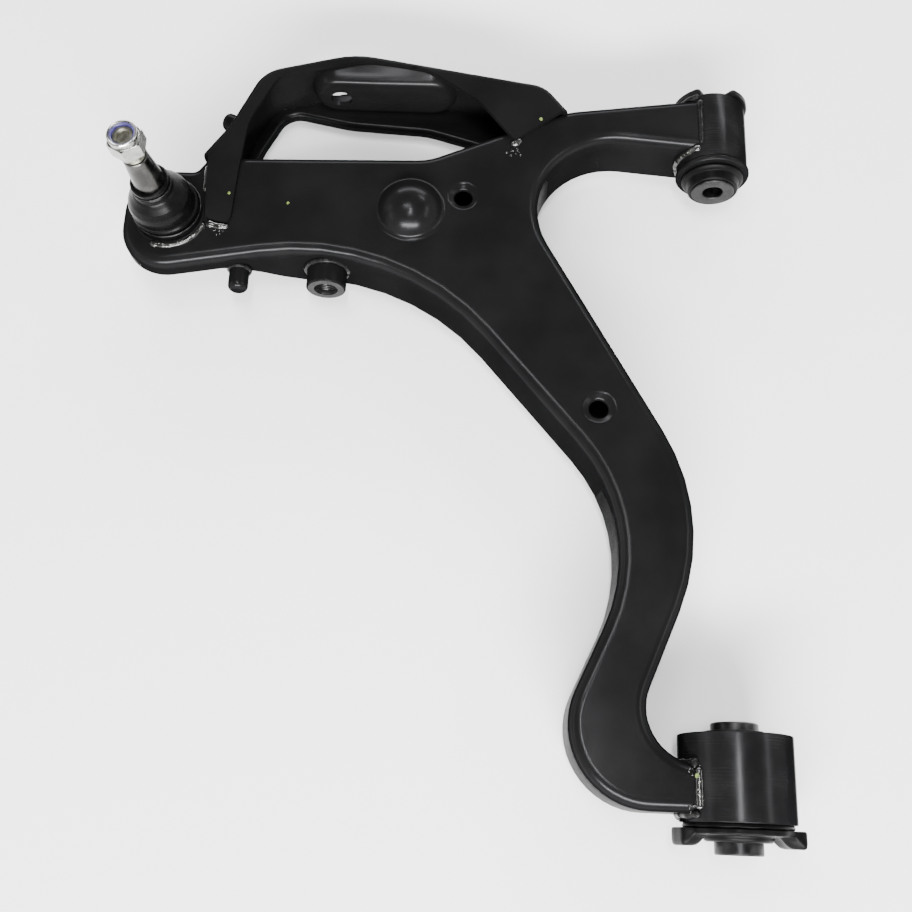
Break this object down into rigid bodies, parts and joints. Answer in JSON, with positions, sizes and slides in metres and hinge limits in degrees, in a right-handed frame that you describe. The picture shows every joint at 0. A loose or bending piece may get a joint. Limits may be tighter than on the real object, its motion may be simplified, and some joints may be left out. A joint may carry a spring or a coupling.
{
  "type": "suspension control arm",
  "caption": "Welded lower control arm: box-section legs to a large rear bush and a small front bush, strap bracket round the damper eye, and an outer ball joint.",
  "frame": {"origin": "centre of the rear bush's bolt hole", "axes": "+Y along the pivot axis through both bushes, from the rear bush to the front bush; +X inboard, away from the ball joint; +Z square to the arm's top plate, on the ball stud's side"},
  "size_m": [0.523, 0.6221, 0.173],
  "materials": {
    "coated_steel": "satin black electro-coat",
    "bush_rubber": "matt",
    "boot_rubber": "semi-matt",
    "sleeve_steel": "turned, phosphated",
    "face_steel": "machined",
    "stud_steel": "ground",
    "zinc": "zinc plated",
    "nylon": "matt",
    "seat_plastic": "matt",
    "spring_wire": "dark wire"
  },
  "bodies": {
    "arm": {"upper_shell": "coated_steel", "lower_shell": "coated_steel", "damper_bracket": "coated_steel", "damper_bolt_tube": "coated_steel", "near_stub_pin": "coated_steel", "far_stub_pin": "coated_steel", "rear_eye": "coated_steel", "rear_bush_shell": "sleeve_steel", "rear_bush_rubber": "bush_rubber", "rear_bush_stop": "bush_rubber", "front_eye": "coated_steel", "front_bush_shell": "sleeve_steel", "front_bush_rubber": "bush_rubber", "front_bush_stop": "bush_rubber", "ball_housing": "coated_steel", "ball_seat": "seat_plastic", "preload_ring": "spring_wire", "closing_cap": "coated_steel", "boot_lower_clip": "spring_wire"},
    "rear_sleeve": {"rear_inner_sleeve": "sleeve_steel"},
    "front_sleeve": {"front_inner_sleeve": "face_steel"},
    "boot_middle": {"boot": "boot_rubber"},
    "boot_collar": {"boot_upper_clip": "spring_wire"},
    "stud": {"ball_stud": "stud_steel", "stud_nut": "zinc", "nut_locking_ring": "nylon"}
  },
  "joints": [
    {"name": "rear_bush_twist", "type": "hinge", "parent": "arm", "child": "rear_sleeve", "pos_m": [0, 0, 0], "axis": [0, 1, 0], "range_deg": [-25, 25], "stiffness_Nm_per_rad": 60},
    {"name": "front_bush_twist", "type": "hinge", "parent": "arm", "child": "front_sleeve", "pos_m": [0, 0.5165, 0], "axis": [0, 1, 0], "range_deg": [-25, 25], "stiffness_Nm_per_rad": 60},
    {"name": "ball_swing", "type": "hinge", "parent": "arm", "child": "boot_middle", "pos_m": [-0.44, 0.418, 0.01], "axis": [0, 1, 0], "range_deg": [-16, 24], "deforming": ["boot"]},
    {"name": "ball_sway", "type": "hinge", "parent": "boot_middle", "child": "boot_collar", "pos_m": [-0.44, 0.418, 0.01], "axis": [0.9976, 0, 0.0698], "range_deg": [-20, 20]},
    {"name": "ball_spin", "type": "hinge", "parent": "boot_collar", "child": "stud", "pos_m": [-0.44, 0.418, 0.01], "axis": [-0.0698, 0, 0.9976], "continuous": true}
  ]
}
